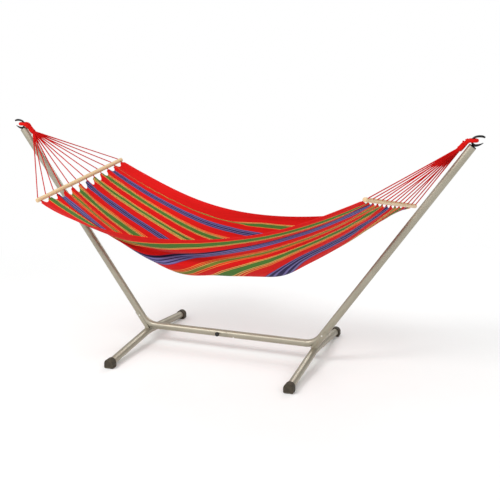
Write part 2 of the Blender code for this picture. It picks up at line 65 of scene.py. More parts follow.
TUBE_R = 0.02415
TUBE_WALL = 0.0020
GAP = 0.0004
ARM_TOP = Vector((1.500, 0, 1.4188))
CORNER = Vector((0.5947, 0, 0.1177))  # where the beam and arm centrelines would meet
BEND_R = 0.130
SEAM_X = -0.010
SEAM_EDGE = 0.0014  # rounding of the tube ends that meet at the seam
FOOT_X = 0.590
FOOT_APEX_Z = 0.079
FOOT_SLOPE = 0.090
FOOT_BEND_R = 0.600
FOOT_TUBE_END = 0.562
CAP_IN_Y = 0.522
CAP_OUT_Y = 0.570
CAP_HALF_W = 0.031
SADDLE_WALL = 0.003
SADDLE_LIP = 0.010
SADDLE_LOW = -0.030
SADDLE_TOP = 0.114
SADDLE_BOLT = 0.083
KNOB_X = -0.070
BUTTON_X = 0.042
BUTTON_DIP = math.radians(24)
PLUG_FLANGE = 0.002
PLUG_DEPTH = 0.030
HOOK_R = 0.0055
SWING_Z = 1.4536  # height of the line that the hammock swings about

ROPE_R = 0.0110
EYE_HALF = 0.0210
EYE_X = 1.5010
NECK_START = (1.456, 1.4345)
NECK_END = (1.425, 1.4010)
NECK_R = 0.0155
BAR_R = 0.014
BARS = {
    "left": (Vector((-1.156, -0.409, 1.008)), Vector((-0.937, 0.338, 1.193))),
    "right": (Vector((0.958, -0.348, 1.135)), Vector((1.123, 0.418, 0.977))),
}
CORDS = 12
CORD_R = 0.0025
LOFT = 1.38  # soft strands stand this much proud of the cord's size
BUNCH_LOFT = 0.65  # and more where they crowd together at the neck
BUNCH_SHARE = 0.33  # over this share of the cord's length
CORD_HOLE_R = 0.0034
FIRST_HOLE = 0.025
BUNDLE_PITCH = 0.0057

CLOTH_WIDTH = 0.86  # cut width, gathered a little by the bars
CLOTH_LENGTH = 2.30  # cut length over both hems
CLOTH_MARGIN = 0.012
# The hanging shape: sag of the front rim, of the rear rim and of the trough between them, and
# how the rims are drawn in, each as terms of a curve along the bed.
NEAR_SAG = (0.277, -0.036, -0.015)
FAR_SAG = (0.189, -0.031, 0.013)
TROUGH = (0.341, -0.003, 0.085)
DRAW_IN = (0.150, -0.266)
TROUGH_POWER = 1.65
# How the woven stripes lie over the hung shape, along the bed: the cloth creeps towards one
# rim, is gathered at the bottom of the trough, and is folded between.
STRIPE_SHIFT = (-0.06, 0.31, 0.05, -0.30)
STRIPE_GATHER = (0.10, 0.10, -0.07, -0.08)
STRIPE_FOLD = (0.02, 0.05, -0.03, -0.05)
RIM_ROLL = 0.050  # share of the width rolled in along each rim
REAR_TUCK = 0.050  # share hidden in a fold along the rear rim's left half
REAR_TUCK_AT = 0.8640
HIDDEN_PARTS = ("splice_sleeve", "splice_stud", "splice_weld_nut", "left_hook_nut",
                "right_hook_nut")

ARM_LENGTH = (ARM_TOP - CORNER).length
ARM_DIR = (ARM_TOP - CORNER).normalized()
OUTWARD = Vector((ARM_DIR.z, 0, -ARM_DIR.x))


# ---- camera
CAMERA_PLACE = (1.9853, -5.1226, 1.9800)
CAMERA_TURN = (19.73, 13.23, 0.13)  # yaw, pitch down and roll in degrees


def make_camera():
    data = bpy.data.cameras.new("camera")
    data.sensor_width = 36
    data.lens = 62.7
    yaw, pitch, roll = (math.radians(angle) for angle in CAMERA_TURN)
    turn = Matrix.Rotation(yaw, 4, "Z") @ Matrix.Rotation(math.pi / 2 - pitch, 4, "X")
    turn = turn @ Matrix.Rotation(roll, 4, "Z")
    camera = add_object("camera", data)
    camera.matrix_world = Matrix.Translation(CAMERA_PLACE) @ turn
    bpy.context.scene.camera = camera


make_camera()


# ---- mesh helpers
def mirrored(point, side):
    return Vector((side * point[0], point[1], point[2]))


def table(points):
    """Points as the rows of an array."""
    return np.array([tuple(p) for p in points], float)


def places_along(points):
    """How far along a poly line each of its points lies."""
    return np.concatenate(([0], np.cumsum(np.linalg.norm(np.diff(points, axis=0), axis=1))))


def finish_mesh(name, vertices, faces, material, sharp=None):
    mesh = bpy.data.meshes.new(name)
    mesh.from_pydata([tuple(v) for v in vertices], [], faces)
    mesh.update()
    mesh.shade_smooth()
    if sharp is not None:
        mesh.set_sharp_from_angle(angle=math.radians(sharp))
    return add_object(name, mesh, material)


def from_bmesh(name, shape, material):
    mesh = bpy.data.meshes.new(name)
    shape.to_mesh(mesh)
    shape.free()
    return add_object(name, mesh, material)


def declare(obj, body, slot, *nodes):
    """Ride on a body and stand for the CAD nodes named, which are hidden; slot is not used."""
    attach(obj, body)
    if nodes:
        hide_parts(*nodes)


def arc(centre, radius, start, end, steps):
    angles = np.linspace(start, end, steps + 1)
    return [(centre[0] + radius * math.cos(a), centre[1] + radius * math.sin(a)) for a in angles]


def smooth_line(points, step):
    """Points every step or so along a Catmull-Rom curve through the given points."""
    points = [np.array(p, float) for p in points]
    points = [2 * points[0] - points[1]] + points + [2 * points[-1] - points[-2]]
    line = []
    for a, b, c, d in zip(points, points[1:], points[2:], points[3:]):
        count = max(2, int(math.ceil(np.linalg.norm((c - b)[:3]) / step)))
        for t in np.arange(count) / count:
            line.append(0.5 * (2 * b + (c - a) * t + (2 * a - 5 * b + 4 * c - d) * t * t
                               + (3 * b - a - 3 * c + d) * t ** 3))
    line.append(points[-2])
    return np.array(line)


def evenly(points, step):
    """The same poly line with points an even step apart."""
    points = table(points)
    places = places_along(points)
    count = max(2, int(round(places[-1] / step)))
    wanted = np.linspace(0, places[-1], count + 1)
    return np.stack([np.interp(wanted, places, points[:, k]) for k in range(3)], axis=1)


def line_rings(path, sides):
    """Along a line: its tangents, the angles of a ring's points, and the ways out to them,
    which don't twist from ring to ring."""
    tangents = np.gradient(path, axis=0)
    tangents /= np.linalg.norm(tangents, axis=1)[:, None]
    seed = np.array((0.0, 1.0, 0.0))
    if abs(seed @ tangents[0]) > 0.95:
        seed = np.array((0.0, 0.0, 1.0))
    firsts = []
    for tangent in tangents:
        seed = seed - tangent * (seed @ tangent)
        seed /= np.linalg.norm(seed)
        firsts.append(seed)
    firsts = np.array(firsts)
    seconds = np.cross(tangents, firsts)
    angles = np.arange(sides) * 2 * math.pi / sides
    around = (firsts[:, None, :] * np.cos(angles)[None, :, None]
              + seconds[:, None, :] * np.sin(angles)[None, :, None])
    return tangents, angles, around


def ring_faces(count, sides, closed=False):
    """Faces between rings of points; closed joins the last ring to the first."""
    faces = []
    for i in range(count if closed else count - 1):
        low, high = i * sides, ((i + 1) % count) * sides
        for j in range(sides):
            k = (j + 1) % sides
            faces.append((low + j, low + k, high + k, high + j))
    return faces


def sweep(name, path, radius, material, sides=24, shape=None):
    """A bar along a line.  radius is one number or one per point; shape(angles, lengths)
    scales it round and along the bar."""
    path = table(path)
    _, angles, around = line_rings(path, sides)
    radii = np.broadcast_to(np.array(radius, float), (len(path),))[:, None] * np.ones(sides)
    if shape is not None:
        radii = radii * shape(angles[None, :], places_along(path)[:, None])
    vertices = (path[:, None, :] + around * radii[:, :, None]).reshape(-1, 3)
    faces = ring_faces(len(path), sides)
    faces.append(tuple(reversed(range(sides))))
    faces.append(tuple((len(path) - 1) * sides + j for j in range(sides)))
    return finish_mesh(name, vertices, faces, material)


def round_ends(path, radius, steps=6):
    """A line and its radii with a half-round added to both ends."""
    path = table(path)
    radii = np.broadcast_to(np.array(radius, float), (len(path),)).copy()
    start = (path[0] - path[1]) / np.linalg.norm(path[0] - path[1])
    end = (path[-1] - path[-2]) / np.linalg.norm(path[-1] - path[-2])
    turns = np.linspace(0.12, math.pi / 2, steps + 1)[:-1]
    head = [path[0] + start * radii[0] * math.cos(a) for a in turns]
    tail = [path[-1] + end * radii[-1] * math.cos(a) for a in turns[::-1]]
    head_r = radii[0] * np.sin(turns)
    tail_r = radii[-1] * np.sin(turns[::-1])
    return np.concatenate((head, path, tail)), np.concatenate((head_r, radii, tail_r))


def pipe(name, path, outer, inner, material, chamfer=0.0006):
    """A hollow tube with slightly broken end edges, as one closed skin."""
    path = table(path)
    sides = 64
    tangents, _, around = line_rings(path, sides)
    rings = [path[i] + around[i] * outer for i in range(len(path))]
    rings[0] = path[0] + tangents[0] * chamfer + around[0] * outer
    rings[-1] = path[-1] - tangents[-1] * chamfer + around[-1] * outer
    rings += [path[-1] + around[-1] * radius for radius in (outer - chamfer, inner)]
    rings += [path[i] + around[i] * inner for i in range(len(path) - 2, 0, -1)]
    rings += [path[0] + around[0] * radius for radius in (inner, outer - chamfer)]
    faces = ring_faces(len(rings), sides, closed=True)
    return finish_mesh(name, np.concatenate(rings), faces, material, sharp=35)


def turned(name, profile, origin, direction, material, sides=48, flutes=None, sharp=35):
    """A turned piece from (radius, height) pairs, bottom to top; flutes(angle, index) scales
    a ring's radius."""
    turn = Vector(direction).to_track_quat("Z", "Y").to_matrix()
    origin = Vector(origin)
    vertices, faces, rows = [], [], []
    for index, (radius, height) in enumerate(profile):
        if radius < 1e-7:
            rows.append([len(vertices)] * sides)
            vertices.append(origin + turn @ Vector((0, 0, height)))
            continue
        rows.append(list(range(len(vertices), len(vertices) + sides)))
        for j in range(sides):
            angle = 2 * math.pi * j / sides
            scaled = radius * (flutes(angle, index) if flutes else 1.0)
            ring = Vector((scaled * math.cos(angle), scaled * math.sin(angle), height))
            vertices.append(origin + turn @ ring)
    for low, high in zip(rows, rows[1:]):
        for j in range(sides):
            k = (j + 1) % sides
            corners = (low[j], low[k], high[k], high[j])
            faces.append(tuple(dict.fromkeys(corners)))
    return finish_mesh(name, vertices, faces, material, sharp)


def prism(name, outline, depth, matrix, material):
    """A closed flat outline with thickness along its own Z, placed by matrix."""
    shape = bmesh.new()
    low = [shape.verts.new((x, y, -depth / 2)) for x, y in outline]
    high = [shape.verts.new((x, y, depth / 2)) for x, y in outline]
    shape.faces.new(list(reversed(low)))
    shape.faces.new(high)
    for i in range(len(outline)):
        k = (i + 1) % len(outline)
        shape.faces.new((low[i], low[k], high[k], high[i]))
    shape.transform(matrix)
    bmesh.ops.recalc_face_normals(shape, faces=shape.faces)
    return from_bmesh(name, shape, material)


def bake_modifiers(obj):
    """Apply every modifier of an object to its mesh."""
    depsgraph = bpy.context.evaluated_depsgraph_get()
    mesh = bpy.data.meshes.new_from_object(obj.evaluated_get(depsgraph))
    mesh.name = obj.name
    obj.modifiers.clear()
    obj.data = mesh


def subtract(obj, *cutters):
    """Cut solids out of an object and drop the cutters."""
    for cutter in cutters:
        boolean = obj.modifiers.new("cut", "BOOLEAN")
        boolean.operation = "DIFFERENCE"
        boolean.object = cutter
    bake_modifiers(obj)
    for cutter in cutters:
        bpy.data.objects.remove(cutter, do_unlink=True)


def smooth_but_sharp(obj, angle):
    """Smooth shading that breaks at edges sharper than an angle in degrees."""
    obj.data.shade_smooth()
    obj.data.set_sharp_from_angle(angle=math.radians(angle))


def round_edges(obj, width, segments, angle):
    bevel = obj.modifiers.new("round", "BEVEL")
    bevel.width = width
    bevel.segments = segments
    bevel.limit_method = "ANGLE"
    bevel.angle_limit = math.radians(angle)
    bake_modifiers(obj)
    smooth_but_sharp(obj, 40)


def join_pieces(name, pieces):
    """One mesh object from several of the same material."""
    shape = bmesh.new()
    for piece in pieces:
        shape.from_mesh(piece.data)
    joined = from_bmesh(name, shape, pieces[0].data.materials[0])
    joined.data.shade_smooth()
    for piece in pieces:
        bpy.data.objects.remove(piece, do_unlink=True)
    return joined


# ---- material helpers
SOCKETS = {
    "roughness": "Roughness", "metallic": "Metallic", "sheen": "Sheen Weight",
    "sheen_roughness": "Sheen Roughness", "coat": "Coat Weight",
    "coat_roughness": "Coat Roughness", "specular": "Specular IOR Level",
}


def put(tree, socket, value):
    """Link another node's output to a socket, or set the socket's own value."""
    if isinstance(value, bpy.types.NodeSocket):
        tree.links.new(value, socket)
    else:
        socket.default_value = value


class Nodes:
    """Short calls to build one material's node tree."""

    def __init__(self, name):
        self.material = bpy.data.materials.new(name)
        self.material.use_nodes = True
        self.tree = self.material.node_tree
        self.shader = self.tree.nodes["Principled BSDF"]

    def set(self, **values):
        for key, value in values.items():
            self.shader.inputs[SOCKETS[key]].default_value = value
        return self

    def node(self, kind, **inputs):
        made = self.tree.nodes.new(kind)
        for key, value in inputs.items():
            put(self.tree, made.inputs[key.replace("_", " ")], value)
        return made

    def math(self, operation, *values, clamp=False):
        made = self.tree.nodes.new("ShaderNodeMath")
        made.operation = operation
        made.use_clamp = clamp
        for socket, value in zip(made.inputs, values):
            put(self.tree, socket, value)
        return made.outputs[0]

    def mix(self, factor, a, b):
        made = self.tree.nodes.new("ShaderNodeMix")
        made.data_type = "RGBA"
        for index, value in ((0, factor), (6, a), (7, b)):
            value = (*value, 1) if isinstance(value, tuple) else value
            put(self.tree, made.inputs[index], value)
        return made.outputs[2]

    def ramp(self, factor, stops, interpolation="LINEAR"):
        made = self.tree.nodes.new("ShaderNodeValToRGB")
        ramp = made.color_ramp
        ramp.interpolation = interpolation
        while len(ramp.elements) < len(stops):
            ramp.elements.new(1.0)
        for element, (place, _) in zip(ramp.elements, stops):
            element.position = place
        for element, (_, colour) in zip(ramp.elements, stops):
            colour = colour if isinstance(colour, tuple) else (colour,) * 3
            element.color = (*colour, 1)
        put(self.tree, made.inputs[0], factor)
        return made.outputs[0]

    def position(self, scale=(1, 1, 1), turn=(0, 0, 0)):
        """Object coordinates, scaled and turned."""
        place = self.tree.nodes.new("ShaderNodeTexCoord").outputs["Object"]
        return self.node("ShaderNodeMapping", Vector=place, Scale=scale, Rotation=turn).outputs[0]

    def noise(self, vector, scale, detail=4.0, roughness=0.5):
        return self.node("ShaderNodeTexNoise", Vector=vector, Scale=scale, Detail=detail,
                         Roughness=roughness).outputs["Fac"]

    def patches(self, vector, scale, detail, low, high):
        """Soft patches of noise between two values or colours."""
        return self.ramp(self.noise(vector, scale, detail), [(0.3, low), (0.7, high)])

    def bump(self, height, distance, strength):
        return self.node("ShaderNodeBump", Height=height, Distance=distance,
                         Strength=strength).outputs[0]

    def done(self, colour, roughness=None, normal=None):
        for name, value in (("Base Color", colour), ("Roughness", roughness),
                            ("Normal", normal)):
            if value is not None:
                self.tree.links.new(value, self.shader.inputs[name])
        return self.material


def shades(colour, low, high):
    """The same colour darkened and lightened."""
    return tuple(c * low for c in colour), tuple(min(1.0, c * high) for c in colour)


# ---- materials
def tube_material():
    """Champagne grey metallic powder coat: fine sparkle, soft mottling, scuffs."""
    n = Nodes("tube_paint").set(metallic=0.55, coat=0.10, coat_roughness=0.3)
    place = n.position()
    grain = n.noise(place, 900.0, 2.0, 0.6)
    colour = n.patches(place, 9.0, 3.0, (0.325, 0.296, 0.226), (0.372, 0.342, 0.266))
    colour = n.mix(n.ramp(grain, [(0.42, 0.0), (0.62, 0.16)]), colour, (0.44, 0.41, 0.36))
    scuff = n.ramp(n.noise(n.position((60, 60, 6)), 3.0, 6.0, 0.7), [(0.66, 0.0), (0.74, 0.5)])
    colour = n.mix(scuff, colour, (0.17, 0.15, 0.125))
    rough = n.patches(place, 35.0, 4.0, 0.36, 0.46)
    return n.done(colour, rough, n.bump(grain, 0.00006, 0.35))


def rubber_material():
    """Dark brown-black moulded rubber, dusty by the floor."""
    n = Nodes("boot_rubber").set(specular=0.35)
    place = n.position()
    cloud = n.noise(place, 45.0, 5.0)
    colour = n.ramp(cloud, [(0.30, (0.030, 0.024, 0.015)), (0.75, (0.074, 0.060, 0.040))])
    height = n.node("ShaderNodeSeparateXYZ", Vector=place).outputs[2]
    low = n.math("MULTIPLY_ADD", height, -90.0, 1.0, clamp=True)
    dust = n.math("MULTIPLY", low, n.noise(place, 120.0, 4.0))
    colour = n.mix(dust, colour, (0.16, 0.135, 0.105))
    rough = n.ramp(cloud, [(0.3, 0.62), (0.7, 0.82)])
    return n.done(colour, rough, n.bump(n.noise(place, 700.0, 3.0), 0.00025, 0.6))


def black_metal_material():
    """Black enamelled steel, worn to a dull grey in small spots."""
    n = Nodes("hook_enamel").set(specular=0.28, coat=0.08, coat_roughness=0.25)
    place = n.position()
    wear = n.ramp(n.noise(place, 160.0, 6.0, 0.65), [(0.62, 0.0), (0.70, 1.0)])
    colour = n.mix(wear, (0.004, 0.004, 0.004), (0.030, 0.028, 0.027))
    rough = n.patches(place, 90.0, 4.0, 0.30, 0.48)
    return n.done(colour, rough, n.bump(n.noise(place, 260.0, 4.0), 0.0003, 0.45))


def plastic_material(name, colour, grain_scale):
    """Moulded plastic with a fine spark-eroded texture."""
    n = Nodes(name).set(specular=0.45)
    place = n.position()
    tone = n.patches(place, 60.0, 3.0, *shades(colour, 0.8, 1.5))
    rough = n.patches(place, 40.0, 3.0, 0.42, 0.56)
    return n.done(tone, rough, n.bump(n.noise(place, grain_scale, 2.0), 0.00015, 0.6))


def plated_material(name, colour, low, high):
    """Bright plated steel: crystalline zinc bloom and fine tool marks."""
    n = Nodes(name).set(metallic=1.0)
    place = n.position()
    bloom = n.node("ShaderNodeTexVoronoi", Vector=place, Scale=420.0).outputs["Distance"]
    dark, light = shades(colour, 0.82, 1.12)
    tone = n.ramp(bloom, [(0.1, dark), (0.6, light)])
    rough = n.patches(place, 240.0, 4.0, low, high)
    marks = n.noise(n.position((1, 1, 12)), 500.0, 3.0)
    return n.done(tone, rough, n.bump(marks, 0.00008, 0.5))


def wood_material(name, axis):
    """Pale varnished hardwood dowel: growth rings stretched along the bar, and pores."""
    n = Nodes(name).set(coat=0.25, coat_roughness=0.3, specular=0.4)
    turn = Vector(axis).rotation_difference(Vector((0, 0, 1))).to_euler()
    place = n.position(turn=tuple(turn))
    long = n.node("ShaderNodeMapping", Vector=place, Scale=(1, 1, 0.035)).outputs[0]
    warp = n.noise(long, 30.0, 3.0)
    grain = n.node("ShaderNodeTexWave", Vector=long, Scale=62.0, Distortion=7.0, Detail=3.0,
                   Detail_Scale=1.6).outputs["Fac"]
    colour = n.ramp(grain, [(0.10, (0.560, 0.375, 0.190)), (0.55, (0.660, 0.475, 0.265)),
                            (0.95, (0.720, 0.545, 0.320))])
    colour = n.mix(n.ramp(warp, [(0.35, 0.0), (0.70, 0.45)]), colour, (0.70, 0.46, 0.27))
    pores = n.ramp(n.noise(long, 900.0, 2.0), [(0.60, 0.0), (0.70, 0.6)])
    colour = n.mix(pores, colour, (0.50, 0.32, 0.16))
    rough = n.ramp(grain, [(0.2, 0.52), (0.8, 0.40)])
    return n.done(colour, rough, n.bump(n.math("ADD", pores, grain), 0.00010, 0.4))


def rope_material(name, dark, light, scale):
    """Dyed cotton cord: fibre fuzz and slight fading."""
    n = Nodes(name).set(specular=0.08, roughness=0.85)
    place = n.position()
    fibre = n.noise(place, scale, 4.0, 0.65)
    faded = n.ramp(n.noise(place, 7.0, 2.0), [(0.40, 0.0), (0.75, 0.25)])
    colour = n.ramp(fibre, [(0.30, dark), (0.70, light)])
    colour = n.mix(faded, colour, shades(light, 1, 1.25)[1])
    return n.done(colour, normal=n.bump(fibre, 0.0004, 0.7))


RED = (0.630, 0.0070, 0.0060)
DEEP_RED = (0.300, 0.0030, 0.0030)
GREEN = (0.068, 0.170, 0.030)
OLIVE = (0.150, 0.175, 0.026)
ORANGE = (0.800, 0.270, 0.060)
YELLOW = (0.780, 0.480, 0.130)
INDIGO = (0.026, 0.020, 0.075)
LILAC = (0.170, 0.145, 0.350)
PLUM = (0.200, 0.020, 0.080)
# near-black painted shade: the shadow of the fold above the front blue stripe
PAINTED_FOLD_SHADE = (0.012, 0.010, 0.030)

# One stripe's colours across one tenth of the cloth's width, on the red ground: (share of the
# tenth where a colour begins, colour).
GREEN_STRIPE = [
    (0.255, ORANGE), (0.290, GREEN), (0.640, YELLOW), (0.675, DEEP_RED), (0.715, YELLOW),
    (0.750, RED),
]
NARROW_STRIPE = [
    (0.190, ORANGE), (0.225, RED), (0.285, ORANGE), (0.320, DEEP_RED), (0.370, YELLOW),
    (0.400, OLIVE), (0.610, ORANGE), (0.645, RED), (0.730, ORANGE), (0.765, RED),
]
BROAD_STRIPE = [
    (0.220, YELLOW), (0.250, DEEP_RED), (0.290, YELLOW), (0.320, GREEN), (0.600, YELLOW),
    (0.632, DEEP_RED), (0.672, YELLOW), (0.704, RED), (0.760, ORANGE), (0.790, RED),
]
MIXED_STRIPE = [
    (0.220, YELLOW), (0.255, DEEP_RED), (0.295, YELLOW), (0.330, OLIVE), (0.380, YELLOW),
    (0.415, GREEN), (0.610, YELLOW), (0.645, DEEP_RED), (0.690, YELLOW), (0.725, RED),
]
BLUE_STRIPE = [
    (0.215, PLUM), (0.240, LILAC), (0.290, INDIGO), (0.370, LILAC), (0.430, INDIGO),
    (0.560, LILAC), (0.620, INDIGO), (0.700, LILAC), (0.760, PLUM), (0.790, RED),
]
# The front blue stripe: blues with a near-black band along its upper edge, which is painted shade
# standing in for the fold's shadow rather than a woven line.
BLUE_STRIPE_PAINTED_SHADE = [
    (0.190, PLUM), (0.215, PAINTED_FOLD_SHADE), (0.300, INDIGO), (0.340, LILAC), (0.430, INDIGO),
    (0.500, LILAC), (0.600, INDIGO), (0.660, LILAC), (0.740, PLUM), (0.775, RED),
]


def scaled(stops, share, shift=0.0):
    """The same stripe, narrower or wider about its middle, which is shifted."""
    return [(0.5 + (place - 0.5) * share + shift, colour) for place, colour in stops]


STRIPES = {  # which tenths of the width have which stripe
    (1,): GREEN_STRIPE, (2,): BLUE_STRIPE_PAINTED_SHADE, (3,): NARROW_STRIPE,
    (4,): scaled(BROAD_STRIPE, 1.20), (5, 8): scaled(BLUE_STRIPE, 0.80), (6,): MIXED_STRIPE,
    (7,): BROAD_STRIPE, (9,): scaled(GREEN_STRIPE, 0.70, -0.20),
}
YARN_PITCH = 0.0016
WEFT_PITCH = 0.0024


def cloth_material():
    """Warp-faced cotton: woven stripes lengthways, the front blue one with a painted fold shadow
    along its upper edge, ribs of the weft across, yarn slubs.
    """
    n = Nodes("hammock_weave").set(sheen=0.08, sheen_roughness=0.4, specular=0.12,
                                   roughness=0.88)
    cut = n.node("ShaderNodeUVMap")
    cut.uv_map = "cut"
    along, across, _ = n.node("ShaderNodeSeparateXYZ", Vector=cut.outputs[0]).outputs
    width = n.math("MULTIPLY", across, CLOTH_WIDTH)
    metres = n.node("ShaderNodeCombineXYZ", X=along, Y=width).outputs[0]
    wander = n.noise(metres, 5.0, 2.0)
    shifted = n.math("MULTIPLY_ADD", across, 10.0, n.math("MULTIPLY_ADD", wander, 0.10, 0.45))
    index = n.math("FLOOR", shifted)
    local = n.math("SUBTRACT", shifted, index)
    colour = RED
    for places, stops in STRIPES.items():
        chosen = 0.0
        for place in places:
            chosen = n.math("ADD", n.math("COMPARE", index, float(place), 0.1), chosen)
        bands = n.ramp(local, [(0.0, RED), *stops], "CONSTANT")
        colour = n.mix(chosen, colour, bands)

    stretched = n.node("ShaderNodeMapping", Vector=metres, Scale=(4, 700, 1)).outputs[0]
    yarn = n.noise(stretched, 1.0, 2.0)
    colour = n.mix(n.ramp(yarn, [(0.30, 0.16), (0.55, 0.0)]), colour, (0.0, 0.0, 0.0))

    warp = n.math("SINE", n.math("MULTIPLY", across, CLOTH_WIDTH * 2 * math.pi / YARN_PITCH))
    weft = n.math("SINE", n.math("MULTIPLY", along, 2 * math.pi / WEFT_PITCH))
    weave = n.math("MULTIPLY_ADD", n.math("MULTIPLY", warp, weft), 0.5, 0.5)
    height = n.math("ADD", weave, n.math("MULTIPLY", yarn, 0.8))
    return n.done(colour, normal=n.bump(height, 0.0005, 0.6))


MATERIALS = {
    "tube": tube_material(),
    "rubber": rubber_material(),
    "hook_black": black_metal_material(),
    "plug_plastic": plastic_material("plug_moulding", (0.014, 0.013, 0.012), 1500.0),
    "knob_plastic": plastic_material("knob_moulding", (0.010, 0.010, 0.010), 1100.0),
    "zinc": plated_material("zinc_plate", (0.66, 0.65, 0.60), 0.24, 0.42),
    "button_steel": plated_material("bright_steel", (0.78, 0.77, 0.74), 0.12, 0.22),
    "rope": rope_material("red_cord", (0.340, 0.002, 0.002), (0.560, 0.005, 0.004), 1400.0),
    "binding": rope_material("red_binding", (0.400, 0.004, 0.003), (0.680, 0.009, 0.006), 900.0),
    "cloth": cloth_material(),
}


# ---- stand
def arm_point(along, outward=0.0, y=0.0):
    return CORNER + ARM_DIR * along + OUTWARD * outward + Vector((0, y, 0))


def on_arm(along, side):
    """A point of the arm's middle line, so far up from the elbow's corner."""
    return mirrored(arm_point(along), side)


def half_frame_path(side, steps=36):
    slope = math.atan2(ARM_DIR.z, ARM_DIR.x)
    tangent = BEND_R * math.tan(slope / 2)
    elbow = arc((CORNER.x - tangent, CORNER.z + BEND_R), BEND_R, -math.pi / 2,
                slope - math.pi / 2, steps)
    path = [Vector((SEAM_X * side + GAP / 2, 0, CORNER.z))]
    path += [Vector((x, 0, z)) for x, z in elbow]
    path.append(arm_point(ARM_LENGTH))
    return [mirrored(point, side) for point in path]


def foot_path(side, steps=16):
    slope = math.atan(FOOT_SLOPE)
    middle_z = FOOT_APEX_Z - FOOT_BEND_R / math.cos(slope)
    bend = arc((0, middle_z), FOOT_BEND_R, math.pi / 2 + slope, math.pi / 2 - slope, steps)
    end_z = FOOT_APEX_Z - FOOT_SLOPE * FOOT_TUBE_END
    path = [(-FOOT_TUBE_END, end_z)] + bend + [(FOOT_TUBE_END, end_z)]
    return [Vector((side * FOOT_X, y, z)) for y, z in path]


def make_tubes(label, side):
    inner = TUBE_R - TUBE_WALL
    arm = pipe(label + "_frame_tube", half_frame_path(side), TUBE_R, inner, MATERIALS["tube"],
               chamfer=SEAM_EDGE)
    declare(arm, "stand", "tube", label + "_half_frame")
    foot = pipe(label + "_foot", foot_path(side), TUBE_R, inner, MATERIALS["tube"])
    declare(foot, "stand", "tube", label + "_foot_tube")


def make_boot(label, side, end, sign):
    """Rubber foot: round over the tube, with a flat sole and a blind socket."""
    axis_z = FOOT_APEX_Z - FOOT_SLOPE * (CAP_IN_Y + CAP_OUT_Y) / 2
    toe, end_wall, overshoot = 0.005, 0.004, 0.05
    outline = arc((0, axis_z), CAP_HALF_W, 0, math.pi, 40)
    outline += [(-CAP_HALF_W, toe), (-CAP_HALF_W + toe, 0), (CAP_HALF_W - toe, 0),
                (CAP_HALF_W, toe)]
    middle = sign * (CAP_IN_Y + CAP_OUT_Y) / 2
    place = Matrix.Translation((side * FOOT_X, middle, 0)) @ Matrix.Rotation(math.pi / 2, 4, "X")
    boot = prism(f"{label}_{end}_boot", outline, CAP_OUT_Y - CAP_IN_Y, place,
                 MATERIALS["rubber"])
    socket = [Vector((side * FOOT_X, sign * y, FOOT_APEX_Z - FOOT_SLOPE * y))
              for y in (CAP_OUT_Y - end_wall, CAP_IN_Y - overshoot)]
    subtract(boot, sweep("cut_socket", socket, TUBE_R + GAP, None, 48))
    round_edges(boot, 0.0022, 4, 30)
    declare(boot, "stand", "rubber", f"{label}_{end}_foot_cap")


def saddle_outline(inner, outer, steps):
    outline = arc((0, 0), outer, 0, math.pi, steps)
    outline += [(-outer, -SADDLE_LIP), (-inner, -SADDLE_LIP)]
    outline += arc((0, 0), inner, math.pi, 0, steps)
    outline += [(inner, -SADDLE_LIP), (outer, -SADDLE_LIP)]
    return outline


def make_saddle(label, side):
    """U channel welded to the foot tube, holding the outer half of the elbow."""
    inner = TUBE_R + GAP
    outer = inner + SADDLE_WALL
    middle = on_arm((SADDLE_TOP + SADDLE_LOW) / 2, side)
    turn = Matrix((Vector((0, side, 0)), mirrored(OUTWARD, side), mirrored(ARM_DIR, side)))
    place = Matrix.Translation(middle) @ turn.transposed().to_4x4()
    saddle = prism(label + "_cradle", saddle_outline(inner, outer, 40),
                   SADDLE_TOP - SADDLE_LOW, place, MATERIALS["tube"])
    foot_space = sweep("cut_foot", foot_path(side), TUBE_R - 0.0002, None, 64)
    elbow_space = sweep("cut_elbow", half_frame_path(side), inner, None, 64)
    subtract(saddle, foot_space, elbow_space)
    round_edges(saddle, 0.0008, 2, 40)
    declare(saddle, "stand", "tube", label + "_saddle")
    make_weld(label, side, outer)


def make_weld(label, side, outer):
    """Rippled weld bead where the saddle's outside meets the foot tube."""
    foot = Vector((FOOT_X, 0, FOOT_APEX_Z))
    bead_r, ripple_pitch, proud = 0.0030, 0.0036, 0.0006
    line = []
    for angle in np.linspace(-1.25, 1.25, 90):
        y = outer * math.sin(angle)
        base = arm_point(0, outer * math.cos(angle), y)
        foot.z = FOOT_APEX_Z - FOOT_SLOPE * abs(y)
        offset = Vector((base.x - foot.x, 0, base.z - foot.z))
        half = offset.dot(ARM_DIR)
        inside = half * half - (offset.length_squared - (TUBE_R + proud) ** 2)
        if inside > 0:
            line.append(mirrored(base + ARM_DIR * (-half + math.sqrt(inside)), side))

    def ripple(angles, places):
        return 1 + 0.10 * np.sin(places * 2 * math.pi / ripple_pitch) + 0 * angles

    path, radii = round_ends(evenly(line, 0.0008), bead_r)
    weld = sweep(label + "_weld", path, radii, MATERIALS["tube"], 12, ripple)
    declare(weld, "stand", "tube")


